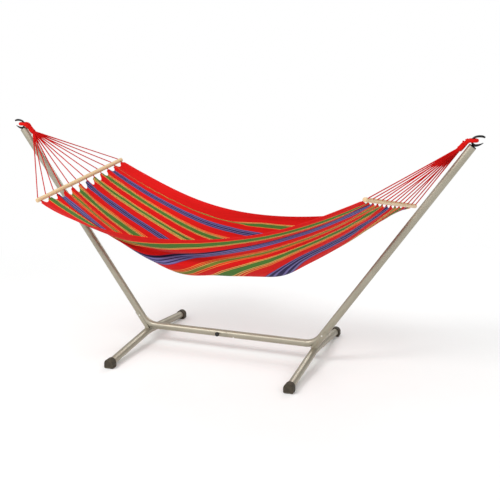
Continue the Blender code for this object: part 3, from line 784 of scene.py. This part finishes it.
def make_saddle_fixing(label, side):
    """Carriage bolt through the saddle from the front, and its nut at the back."""
    seat = TUBE_R + GAP + SADDLE_WALL
    place = on_arm(SADDLE_BOLT, side)
    head_r, head_h, shank_r = 0.0062, 0.0036, 0.003
    nut_h = 0.005
    reach = 2 * seat + nut_h + 0.0018
    profile = [(0, -reach), (shank_r * 0.8, -reach), (shank_r, -reach + 0.0006), (shank_r, 0),
               (head_r - 0.0004, 0), (head_r, 0.0004)]
    profile += [(head_r * math.cos(a), 0.0008 + (head_h - 0.0008) * math.sin(a))
                for a in np.linspace(0, 1.15, 8)]
    profile += [(0.0022, head_h * 0.93), (0.0019, head_h * 0.42), (0, head_h * 0.36)]
    head = place + Vector((0, -seat, 0))
    bolt = turned(label + "_carriage_bolt", profile, head, (0, -1, 0), MATERIALS["zinc"], 40)
    declare(bolt, "stand", "zinc", label + "_saddle_bolt")
    nut = hex_nut(label + "_lock_nut", place + Vector((0, seat + 0.0002, 0)), (0, 1, 0),
                  0.0058, nut_h, shank_r + 0.0002)
    declare(nut, "stand", "zinc", label + "_saddle_nut")


def hex_nut(name, seat, direction, corner_r, height, bore_r):
    """Hexagon nut with turned chamfers on both faces."""
    flat = math.cos(math.pi / 6)
    chamfer = corner_r * (1 - flat) * 0.5
    rows = [(bore_r, 0.0), (corner_r * flat * 0.98, 0.0), (corner_r, chamfer),
            (corner_r, height - chamfer), (corner_r * flat * 0.98, height), (bore_r, height),
            (bore_r, 0.0)]

    def flutes(angle, index):
        if index not in (2, 3):
            return 1.0
        return flat / math.cos((angle % (math.pi / 3)) - math.pi / 6)

    return turned(name, rows, seat, direction, MATERIALS["zinc"], 72, flutes, 25)


def make_splice():
    """Fluted clamping knob and the domed snap button on the beam's front."""
    radius, height, neck = 0.0150, 0.0170, 0.0085
    seat = -TUBE_R - GAP
    profile = [(0, 0.0), (neck, 0.0), (neck, height * 0.22), (neck + 0.0015, height * 0.27),
               (radius * 0.94, height * 0.34), (radius, height * 0.42), (radius, height * 0.74),
               (radius * 0.97, height * 0.84), (radius * 0.88, height * 0.94),
               (radius * 0.74, height), (radius * 0.55, height), (radius * 0.50, height * 0.95),
               (0, height * 0.93)]

    def flutes(angle, index):
        depth = 0.07 if 4 <= index <= 8 else 0.0
        return 1 - depth * (0.5 - 0.5 * math.cos(10 * angle)) ** 2

    knob = turned("clamp_knob", profile, (KNOB_X, seat, CORNER.z), (0, -1, 0),
                  MATERIALS["knob_plastic"], 120, flutes, 40)
    declare(knob, "knob", "knob_plastic", "splice_knob")

    push = Vector((0, -math.cos(BUTTON_DIP), -math.sin(BUTTON_DIP)))
    button_r, proud, dome, sunk = 0.0050, 0.0070, 0.0028, 0.0060
    profile = [(0, -sunk), (button_r, -sunk), (button_r, proud - dome)]
    profile += [(button_r * math.cos(a), proud - dome + dome * math.sin(a))
                for a in np.linspace(0, math.pi / 2, 9)[1:-1]]
    profile.append((0, proud))
    origin = Vector((BUTTON_X, 0, CORNER.z)) + push * TUBE_R
    button = turned("spring_button", profile, origin, push, MATERIALS["button_steel"], 40)
    declare(button, "button", "button_steel", "snap_button")
    make_leaf_spring(push)


def make_leaf_spring(push):
    """The hidden leaf spring between the button and the far wall, kept in its CAD shape."""
    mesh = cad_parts["snap_spring"].data.copy()
    mesh.materials.clear()
    spring = add_object("leaf_spring", mesh, MATERIALS["zinc"])
    declare(spring, "stand", "zinc", "snap_spring")
    heights = [v.co.dot(push) for v in mesh.vertices]
    low, high = min(heights), max(heights)
    foot = Vector((BUTTON_X, 0, CORNER.z))
    foot += push * (low - foot.dot(push))
    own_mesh(spring)


# Right hook: x, z and radius as a share of HOOK_R, from the lower tip to the upper.
HOOK_SPINE = [
    (1.5570, 1.4405, 0.35), (1.5440, 1.4330, 0.80), (1.5290, 1.4275, 1.20),
    (1.5130, 1.4255, 1.40), (1.5000, 1.4330, 1.25), (1.4950, 1.4470, 1.15),
        (1.4975, 1.4610, 1.10), (1.5110, 1.4730, 1.10), (1.5290, 1.4780, 1.20),
    (1.5450, 1.4785, 1.25), (1.5560, 1.4770, 1.15), (1.5630, 1.4740, 1.00),
]
SHANK_TAIL = 0.012  # hook shank below the plug, inside the tube
SHANK_NECK = 0.013  # and above the arm's end


def make_hook(label, side):
    """End plug with a moulded rim, and the forged C hook."""
    top = on_arm(ARM_LENGTH + GAP + PLUG_FLANGE, side)
    along = mirrored(ARM_DIR, side)
    insert = TUBE_R - TUBE_WALL - GAP
    profile = [(0, -PLUG_DEPTH), (insert - 0.001, -PLUG_DEPTH), (insert, -PLUG_DEPTH + 0.001),
               (insert, -PLUG_FLANGE), (TUBE_R, -PLUG_FLANGE), (TUBE_R, -0.0014),
               (TUBE_R * 0.985, -0.0009), (TUBE_R * 0.95, -0.0005), (TUBE_R * 0.88, 0),
               (TUBE_R * 0.46, 0), (TUBE_R * 0.42, -0.0006), (0, -0.0006)]
    plug = turned(label + "_tube_plug", profile, top, along, MATERIALS["plug_plastic"], 72)
    declare(plug, "stand", "plug_plastic", label + "_end_plug")

    spine = [(side * x, 0.0, z, r * HOOK_R) for x, z, r in HOOK_SPINE]
    fine = smooth_line(spine, 0.0012)
    path, radii = round_ends(fine[:, :3], fine[:, 3], 8)
    black = MATERIALS["hook_black"]
    body = sweep("hook_body", path, radii, black, 32)
    ends = (ARM_LENGTH - PLUG_DEPTH - SHANK_TAIL, ARM_LENGTH + SHANK_NECK)
    shank = sweep("hook_shank", [on_arm(d, side) for d in ends], HOOK_R * 0.97, black, 32)
    collar = [on_arm(ARM_LENGTH + d, side) for d in (0.0020, 0.0040, 0.0048)]
    ring = sweep("hook_collar", collar, [0.0088, 0.0088, 0.0076], black, 32)
    hook = join_pieces(label + "_forged_hook", [body, shank, ring])
    hook.data.set_sharp_from_angle(angle=math.radians(50))
    declare(hook, "stand", "hook_black", label + "_hook")


def dress_hidden_parts():
    """The parts inside the tubes keep their own shape and take plated steel."""
    for node in HIDDEN_PARTS:
        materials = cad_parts[node].data.materials
        materials.clear()
        materials.append(MATERIALS["zinc"])


# ---- hammock: cords and loops
def neck_frame(label):
    """Whipping end, the way the cord bundle leaves it, and two axes across it."""
    start = Vector((SIDES[label] * NECK_END[0], 0, NECK_END[1]))
    near, far = BARS[label]
    bundle = ((near + far) / 2 - start).normalized()
    lateral = (far - near).normalized()
    lateral = (lateral - bundle * lateral.dot(bundle)).normalized()
    return start, bundle, lateral, bundle.cross(lateral)


def hole_place(label, index):
    near, far = BARS[label]
    length = (far - near).length
    pitch = (length - 2 * FIRST_HOLE) / (CORDS - 1)
    return near.lerp(far, (FIRST_HOLE + pitch * index) / length)


def hole_direction(label):
    near, far = BARS[label]
    axis = (far - near).normalized()
    bundle = neck_frame(label)[1]
    return (bundle - axis * bundle.dot(axis)).normalized()


def cord_share(label, index):
    """Where across the cloth a cord meets the hem, 0 front to 1 rear."""
    near, far = BARS[label]
    share = (hole_place(label, index) - near).length / (far - near).length
    return (share - CLOTH_MARGIN) / (1 - 2 * CLOTH_MARGIN)


CORD_LAY = 0.016  # length of one turn of the strands
BUNCH_START = (-0.004, 0.010)  # a cord starts inside the whipping and leaves it straight


def twisted(angles, places):
    """Three strands laid into a cord."""
    turn = 2 * math.pi * places / CORD_LAY
    return 0.88 + 0.12 * np.abs(np.cos(1.5 * (angles - turn)))


def cord_route(label, index):
    """From the whipping, through its hole in the bar, to the hem."""
    start, bundle, lateral, rise = neck_frame(label)
    through = hole_direction(label)
    begin = start + lateral * (index // 3 - 1.5) * BUNDLE_PITCH
    begin += rise * (index % 3 - 1) * BUNDLE_PITCH + bundle * 0.0010
    place = hole_place(label, index)
    route = [begin + bundle * d for d in BUNCH_START]
    route += [place + through * d for d in (-BAR_R - 0.006, -BAR_R - 0.002, BAR_R + 0.002)]
    return route + [hem_tip(label, index)]


def make_cords(label):
    for index in range(CORDS):
        line = evenly(cord_route(label, index), 0.0016)
        places = places_along(line)
        length = float(places[-1])
        bunched = np.exp(-(places / (BUNCH_SHARE * length)) ** 2)
        radii = CORD_R * (LOFT + BUNCH_LOFT * bunched)
        cord = sweep(f"{label}_line_{index + 1:02d}", line, radii, MATERIALS["rope"], 12,
                     twisted)
        declare(cord, "hammock", "rope", f"{label}_cord_{index + 1:02d}")


def wound(pitch, depth):
    """Ridges of a binding thread wound round a rope."""
    def shape(angles, places):
        turn = 2 * math.pi * places / pitch - angles
        return 1 - depth + depth * np.abs(np.cos(turn / 2)) ** 0.6
    return shape


def make_loop(label):
    """Rope eye round the hook, bound all along, and the thicker whipping at its neck."""
    side = SIDES[label]
    binding = MATERIALS["binding"]
    eye = [
        (1.4560, 0.0090, 1.4335), (1.4680, 0.0165, 1.4450), (1.4790, 0.0205, 1.4517),
        (1.4890, EYE_HALF, 1.4535), (1.5000, EYE_HALF, SWING_Z),
    ]
    turn = arc((EYE_X, 0), EYE_HALF, math.pi / 2, -math.pi / 2, 8)
    nose = [(x, y, SWING_Z) for x, y in turn[1:-1]]
    back = [(x, -y, z) for x, y, z in reversed(eye)]
    route = [mirrored(point, side) for point in eye + nose + back]
    line = evenly(smooth_line(route, 0.002), 0.0005)
    slack = np.interp(np.abs(line[:, 0]), (1.462, 1.478), (1.16, 1.0))  # slimmer at the hook
    rope = sweep("loop_rope", line, ROPE_R * slack, binding, 32, wound(0.0030, 0.06))

    start, bundle, _, _ = neck_frame(label)
    begin = Vector((side * NECK_START[0], 0, NECK_START[1]))
    first = begin + (begin - start).normalized() * 0.006
    whipping = [first, begin.lerp(start, 0.25), start - bundle * 0.014, start]
    widths = [0.92, 1.06, 1.08, 1.12]
    fine = smooth_line([(*p, w * NECK_R) for p, w in zip(whipping, widths)], 0.0005)
    neck = sweep("loop_neck", fine[:, :3], fine[:, 3], binding, 40, wound(0.0032, 0.07))
    loop = join_pieces(label + "_rope_eye", [rope, neck, *tail_knots(side)])
    declare(loop, "hammock", "rope", label + "_loop")


def overhand(centre, axis, size):
    """A small pulled-tight knot: a trefoil of cord."""
    across = Vector(axis).normalized()
    turn = across.to_track_quat("Z", "Y").to_matrix()
    line = []
    for t in np.linspace(0, 2 * math.pi, 90, endpoint=False):
        point = Vector((math.sin(t) + 2 * math.sin(2 * t), math.cos(t) - 2 * math.cos(2 * t),
                        -math.sin(3 * t)))
        line.append(centre + turn @ (point * size / 3))
    line.append(line[0])
    return sweep("knot", line, 0.0024, MATERIALS["binding"], 12, twisted)


def tail_knots(side):
    """Knotted tails of the binding thread, standing on top of the rope."""
    knots = []
    for x, z in ((1.4700, 1.4590), (1.4630, 1.4560), (1.4470, 1.4460)):
        centre = Vector((side * x, -0.004, z))
        knots.append(overhand(centre, (0.3, 1.0, 0.4), 0.0042))
    return knots


# ---- hammock: spreader bars
def make_bar(label):
    """Turned dowel with rounded ends and twelve countersunk cord holes."""
    near, far = BARS[label]
    length = (far - near).length
    axis = (far - near).normalized()
    material = wood_material(label + "_bar_wood", axis)
    fillet = 0.004
    profile = [(0, 0)]
    profile += [(BAR_R - fillet + fillet * math.sin(a), fillet - fillet * math.cos(a))
                for a in np.linspace(0, math.pi / 2, 7)]
    profile += [(radius, length - height) for radius, height in reversed(profile)]
    bar = turned(label + "_dowel", profile, near, axis, material, 64)
    through = hole_direction(label)
    half = [(0.020, 0.0020), (BAR_R + 0.0004, 0.0014), (BAR_R - 0.0016, 0.0)]
    cutter = [(-reach, wider) for reach, wider in half] + half[::-1]
    cutters = []
    for index in range(CORDS):
        place = hole_place(label, index)
        line = [place + through * reach for reach, _ in cutter]
        radii = [CORD_HOLE_R + wider for _, wider in cutter]
        cutters.append(sweep("cut_hole", line, radii, None, 28))
    subtract(bar, *cutters)
    smooth_but_sharp(bar, 35)
    declare(bar, "hammock", "wood", label + "_spreader_bar")


# ---- hammock: cloth
HEM_TIP = 0.017  # from the bar's middle line to the hem at a cord
HEM_VALLEY = {"left": 0.044, "right": 0.022}  # and halfway between two cords
GAP_SHARE = 0.60  # width of a gap as a share of the cords' spacing
HALF_SPAN = 1.05  # half the cloth's length along the bed, about
PUCKER = 0.011  # how deep the cloth hangs between two cords
PUCKER_REACH = 0.16
FOLD_DEPTH = 0.0075
BODY_THICK = 0.0042  # hems, and this share of it elsewhere
FIELD_SHARE = 0.45
SELVEDGE = 0.016
HEM_WIDTH = 0.030
# Folds that tuck in under the front rim: (place along, across), (reach along, across), depth.
TUCKS = (((-0.25, 0.155), (0.55, 0.050), 0.072), ((0.40, 0.072), (0.38, 0.020), 0.020))
# The flat bottom of the bed: (place along, reach, extra sag) of three soft swells.
BELLY = ((-0.32, 0.20, 0.032), (0.0, 0.20, -0.020), (0.37, 0.11, 0.024))


def across_bar(label, share):
    near, far = (np.array(end) for end in BARS[label])
    return near + (far - near) * share[..., None]


def cloth_surface(u, v):
    """Middle surface of the cloth as arrays: u from left bar -1 to right bar 1, v 0 to 1."""
    across = CLOTH_MARGIN + (1 - 2 * CLOTH_MARGIN) * v
    left, right = (across_bar(label, across) for label in ("left", "right"))
    point = left + (right - left) * ((u + 1) / 2)[..., None]
    free = 1 - u * u

    def bow(terms):
        return free * (terms[0] + terms[1] * u + terms[2] * u * u)

    sag = bow(NEAR_SAG) * (1 - v) + bow(FAR_SAG) * v
    sag = sag + bow(TROUGH) * (1 - np.abs(2 * v - 1) ** TROUGH_POWER)
    drawn = free * (DRAW_IN[0] + DRAW_IN[1] * u * u) * (1 - 2 * v)
    return point + np.stack((0 * u, drawn, -sag), axis=-1)


def woven_share(u, v):
    """Where across the cut width the cloth at (u, v) was woven."""
    share = v.copy()
    for order, terms in enumerate((STRIPE_SHIFT, STRIPE_GATHER, STRIPE_FOLD), start=1):
        share += np.polynomial.polynomial.polyval(u, terms) * np.sin(order * math.pi * v)
    roll = RIM_ROLL * (1 - u * u)
    share += roll * (1 - v) ** 8 - roll * v ** 8
    left_half = np.clip((0.10 - u) / 0.40, 0, 1)
    left_half = left_half * left_half * (3 - 2 * left_half)
    return share + REAR_TUCK * left_half * np.clip((share - REAR_TUCK_AT) / 0.002, 0, 1)


def hem_tip(label, index):
    """Where a cord meets the hem."""
    u = SIDES[label] * (1 - HEM_TIP / HALF_SPAN)
    place = cloth_surface(np.array(u), np.array(cord_share(label, index)))
    return Vector(place)


def cord_phase(label, v):
    """Which cord the hem meets at v, with parts of one between two, and every cord's v."""
    shares = np.array([cord_share(label, index) for index in range(CORDS)])
    return np.interp(v, shares, np.arange(CORDS)), shares


def hem_gap(label, v):
    """Distance from the bar to the hem along the cloth: broad tips and rounded gaps, which
    are deepest in the middle of the bar; the outer corners hang a little lower."""
    phase, shares = cord_phase(label, v)
    from_middle = (2 * (phase - np.floor(phase)) - 1) / GAP_SHARE
    between = np.clip(1 - from_middle ** 2, 0, 1) ** 0.6
    deep = 0.5 + 0.5 * np.sin(math.pi * (np.floor(phase) + 0.5) / (CORDS - 1))
    outside = np.clip(np.maximum(shares[0] - v, v - shares[-1]) / shares[0], 0, 1)
    return HEM_TIP + (HEM_VALLEY[label] - HEM_TIP) * between * deep + 0.012 * outside


def cloth_grid():
    """Places u, v of the cloth's points, and the even rows that they were drawn from."""
    cells_u, cells_v = 210, 186
    t = np.linspace(-1, 1, cells_u + 1)
    t = 0.62 * t + 0.38 * np.sin(t * math.pi / 2)  # finer rows near both hems
    t, v = np.meshgrid(t, np.linspace(0, 1, cells_v + 1), indexing="ij")
    end = np.where(t < 0, hem_gap("left", v), hem_gap("right", v))
    flat_end = 1 - 0.5 * (HEM_TIP + HEM_VALLEY["left"]) / HALF_SPAN
    pull = np.clip((np.abs(t) - 0.80) / 0.20, 0, 1) ** 2
    return t * (flat_end * (1 - pull) + (1 - end / HALF_SPAN) * pull), v, t


def cloth_relief(u, v, share):
    """How deep the cloth sinks below its middle surface: pockets between the cords, and soft
    lengthways folds."""
    distance = (1 - np.abs(u)) * HALF_SPAN
    sink = np.zeros_like(u)
    for label, side in SIDES.items():
        phase, _ = cord_phase(label, v)
        pocket = np.abs(np.sin(math.pi * phase)) ** 1.3
        lengths = 0.7 + 0.6 * np.abs(np.sin(2.3 * np.floor(phase) + 1.1 + side))
        fade = np.exp(-distance / (PUCKER_REACH * lengths))
        sink += (u * side > 0) * PUCKER * pocket * fade
    folds = np.zeros_like(u)
    for i, j in np.ndindex(*u.shape):
        place = Vector((u[i, j] * 1.1, share[i, j] * 11.0, 3.7))
        ridge = 0.5 - abs(noise.noise(place + Vector((7.3, 0, 0))))
        folds[i, j] = noise.fractal(place, 0.9, 2.1, 2) + 0.9 * ridge
    return sink + FOLD_DEPTH * folds * np.clip((1 - np.abs(u)) * 8, 0.2, 1)


def make_cloth():
    """The striped sheet, thicker along its hems, with its cut shape as the UV map."""
    u, v, t = cloth_grid()
    share = woven_share(u, v)
    points = cloth_surface(u, v)
    for (along, across), (reach, width), depth in TUCKS:
        fade = np.exp(-((u - along) / reach) ** 2 - ((v - across) / width) ** 2)
        points[..., 1] += depth * fade
    for place, reach, depth in BELLY:
        points[..., 2] -= depth * np.exp(-((u - place) / reach) ** 2) * np.sin(math.pi * v) ** 2

    across = np.gradient(points, axis=1)
    normal = np.cross(np.gradient(points, axis=0), across)
    normal /= np.linalg.norm(normal, axis=-1)[..., None]
    points = points - normal * cloth_relief(u, v, share)[..., None]

    rows, columns = u.shape
    faces = []
    for i in range(rows - 1):
        for low in range(i * columns, (i + 1) * columns - 1):
            faces.append((low, low + columns, low + columns + 1, low + 1))
    cloth = finish_mesh("striped_cloth", points.reshape(-1, 3), faces, MATERIALS["cloth"])
    layer = cloth.data.uv_layers.new(name="cut")
    flat = np.stack((u * CLOTH_LENGTH / 2, share), axis=-1).reshape(-1, 2)
    corners = np.zeros(len(cloth.data.loops), int)
    cloth.data.loops.foreach_get("vertex_index", corners)
    layer.data.foreach_set("uv", flat[corners].ravel())

    edge = np.minimum(v, 1 - v) * CLOTH_WIDTH
    hem = (edge < SELVEDGE) | ((1 - np.abs(t)) * HALF_SPAN < HEM_WIDTH)
    group = cloth.vertex_groups.new(name="hem")
    for index, weight in enumerate(np.where(hem, 1.0, FIELD_SHARE).ravel()):
        group.add([index], float(weight), "REPLACE")
    solid = cloth.modifiers.new("thickness", "SOLIDIFY")
    solid.thickness = BODY_THICK
    solid.offset = 0
    solid.vertex_group = "hem"
    bake_modifiers(cloth)
    smooth_but_sharp(cloth, 60)
    declare(cloth, "hammock", "cloth", "hammock_cloth")


def make_hem_knots(label):
    """The cord's turns round the gathered hem at each tip."""
    turns = []
    radius, height, sweep_angle = 0.0034, 0.006, 5 * math.pi
    for index in range(CORDS):
        tip = hem_tip(label, index)
        outward = (hole_place(label, index) - tip).normalized()
        turn = outward.to_track_quat("Z", "Y").to_matrix()
        line = []
        for angle in np.linspace(0, sweep_angle, 70):
            rise = height * (angle / sweep_angle - 0.5)
            ring = Vector((radius * math.cos(angle), radius * math.sin(angle), rise))
            line.append(tip + turn @ ring)
        path, radii = round_ends(line, 0.0018, 4)
        turns.append(sweep("turns", path, radii, MATERIALS["rope"], 10))
    knots = join_pieces(label + "_hem_knots", turns)
    declare(knots, "hammock", "rope")


# ---- setting
FLOOR_R = 40.0
FLOOR_FADE = 2.4
SKY_LEVEL = 0.60  # soft light from all round
SKY_TILT = (-0.08, -0.36, 0.34)  # and how it leans to the front and top


def make_floor():
    """Pale floor under the object that turns to plain white further off."""
    shape = bmesh.new()
    bmesh.ops.create_circle(shape, cap_ends=True, radius=FLOOR_R, segments=96)
    n = Nodes("pale_floor").set(roughness=0.8, specular=0.1)
    place = n.position()
    tone = n.patches(place, 1.5, 3.0, (0.86, 0.86, 0.855), (0.88, 0.88, 0.875))
    distance = n.node("ShaderNodeVectorMath", Vector=place)
    distance.operation = "LENGTH"
    far = n.math("MULTIPLY_ADD", distance.outputs["Value"], 1 / FLOOR_FADE, -0.5, clamp=True)
    glow = n.node("ShaderNodeEmission", Color=(1, 1, 1, 1), Strength=1.0)
    blend_shaders(n.tree, far, n.shader, glow, "Material Output")
    floor = from_bmesh("studio_floor", shape, n.done(tone))
    floor.location.z = -0.0005


def blend_shaders(tree, factor, first, second, output):
    """Blend two shader nodes by factor into a tree's output."""
    blend = tree.nodes.new("ShaderNodeMixShader")
    for socket, value in zip(blend.inputs, (factor, first.outputs[0], second.outputs[0])):
        put(tree, socket, value)
    put(tree, tree.nodes[output].inputs["Surface"], blend.outputs[0])


def make_light(name, place, height, size, power):
    """A round lamp aimed at a point so high over the middle of the floor."""
    data = bpy.data.lights.new(name, "AREA")
    data.shape = "DISK"
    data.size = size
    data.energy = power
    aim = (Vector((0, 0, height)) - Vector(place)).to_track_quat("-Z", "Y")
    lamp = add_object(name, data)
    lamp.matrix_world = Matrix.Translation(place) @ aim.to_matrix().to_4x4()


def make_sky():
    """Soft white light from all round, and a plain white backdrop."""
    world = bpy.data.worlds.new("studio")
    bpy.context.scene.world = world
    world.use_nodes = True
    tree = world.node_tree
    tilt = tree.nodes.new("ShaderNodeVectorMath")
    tilt.operation = "DOT_PRODUCT"
    put(tree, tilt.inputs[0], tree.nodes.new("ShaderNodeTexCoord").outputs["Generated"])
    put(tree, tilt.inputs[1], SKY_TILT)
    strength = tree.nodes.new("ShaderNodeMath")
    put(tree, strength.inputs[0], tilt.outputs["Value"])
    put(tree, strength.inputs[1], SKY_LEVEL)
    ambient = tree.nodes["Background"]
    put(tree, ambient.inputs["Strength"], strength.outputs[0])
    backdrop = tree.nodes.new("ShaderNodeBackground")
    for background in (ambient, backdrop):
        background.inputs["Color"].default_value = (1.0, 1.0, 1.0, 1)
    seen = tree.nodes.new("ShaderNodeLightPath").outputs["Is Camera Ray"]
    blend_shaders(tree, seen, ambient, backdrop, "World Output")


# ---- assembly
make_floor()
make_light("key", (-2.6, -3.6, 4.8), 0.7, 2.4, 150)
make_light("fill", (4.2, -3.2, 2.6), 0.7, 3.0, 36)
make_light("back", (0.5, 4.5, 3.8), 0.9, 3.0, 80)
make_sky()
bpy.context.scene.view_settings.view_transform = "Standard"
for label in SIDES:
    make_cords(label)
for label, side in SIDES.items():
    make_tubes(label, side)
    make_saddle(label, side)
    make_saddle_fixing(label, side)
    make_hook(label, side)
    for end, sign in (("front", -1), ("rear", 1)):
        make_boot(label, side, end, sign)
    make_loop(label)
    make_bar(label)
make_splice()
dress_hidden_parts()
make_cloth()
for label in SIDES:
    make_hem_knots(label)
